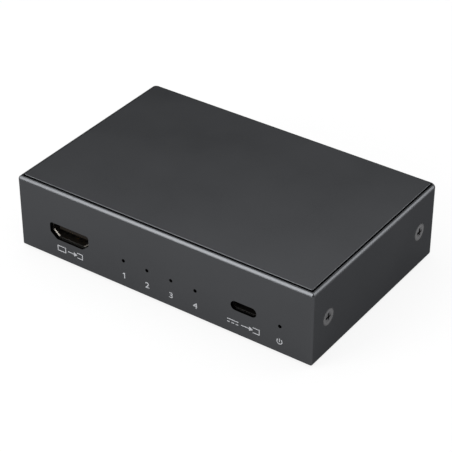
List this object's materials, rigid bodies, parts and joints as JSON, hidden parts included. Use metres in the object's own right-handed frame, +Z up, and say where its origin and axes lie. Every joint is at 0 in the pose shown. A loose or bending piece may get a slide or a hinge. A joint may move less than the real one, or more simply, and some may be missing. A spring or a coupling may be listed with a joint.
{
  "type": "hdmi splitter",
  "caption": "Small dark grey metal video splitter box with an input socket, a power socket and indicator lights in front, output sockets behind, a screwed cover and rubber feet.",
  "frame": {"origin": "under the middle of the box, on the surface that its feet stand on", "axes": "+X to the right seen from the front, +Y from the front panel to the rear panel, +Z up"},
  "size_m": [0.107, 0.0694, 0.0264],
  "materials": {
    "case_coat": "fine satin coating, dark grey",
    "cover_screw_steel": "grey plated",
    "foot_rubber": "matte",
    "board_laminate": "black solder mask",
    "standoff_brass": "turned",
    "bright_steel": "plated",
    "socket_steel": "bright plated sheet",
    "socket_plastic": "moulded",
    "contact_gold": "gold flash",
    "lens_epoxy": "milky epoxy",
    "holder_plastic": "moulded",
    "tinned_wire": "tinned",
    "chip_epoxy": "moulded",
    "pad_silicone": "soft",
    "sink_aluminium": "extruded",
    "inductor_ferrite": "pressed powder",
    "ceramic": "fired"
  },
  "bodies": {
    "root": {"base_tray": "case_coat", "top_cover": "case_coat", "cover_screws": "cover_screw_steel", "rubber_feet": "foot_rubber", "circuit_board": "board_laminate", "board_standoffs": "standoff_brass", "board_screws": "bright_steel", "input_shell": "socket_steel", "input_insulator": "socket_plastic", "input_contacts": "contact_gold", "power_shell": "socket_steel", "power_insulator": "socket_plastic", "power_contacts": "contact_gold", "power_led": "lens_epoxy", "led_holders": "holder_plastic", "led_leads": "tinned_wire", "splitter_chip": "chip_epoxy", "thermal_pad": "pad_silicone", "heat_sink": "sink_aluminium", "control_chip": "chip_epoxy", "clock_crystal": "bright_steel", "regulator_chip": "chip_epoxy", "power_inductor": "inductor_ferrite", "bulk_capacitors": "sink_aluminium", "capacitor_bases": "holder_plastic", "socket_protectors": "chip_epoxy", "chip_capacitors": "ceramic", "status_led_1": "lens_epoxy", "status_led_2": "lens_epoxy", "status_led_3": "lens_epoxy", "status_led_4": "lens_epoxy", "output_1_shell": "socket_steel", "output_1_insulator": "socket_plastic", "output_1_contacts": "contact_gold", "output_2_shell": "socket_steel", "output_2_insulator": "socket_plastic", "output_2_contacts": "contact_gold", "output_3_shell": "socket_steel", "output_3_insulator": "socket_plastic", "output_3_contacts": "contact_gold", "output_4_shell": "socket_steel", "output_4_insulator": "socket_plastic", "output_4_contacts": "contact_gold"}
  },
  "joints": []
}
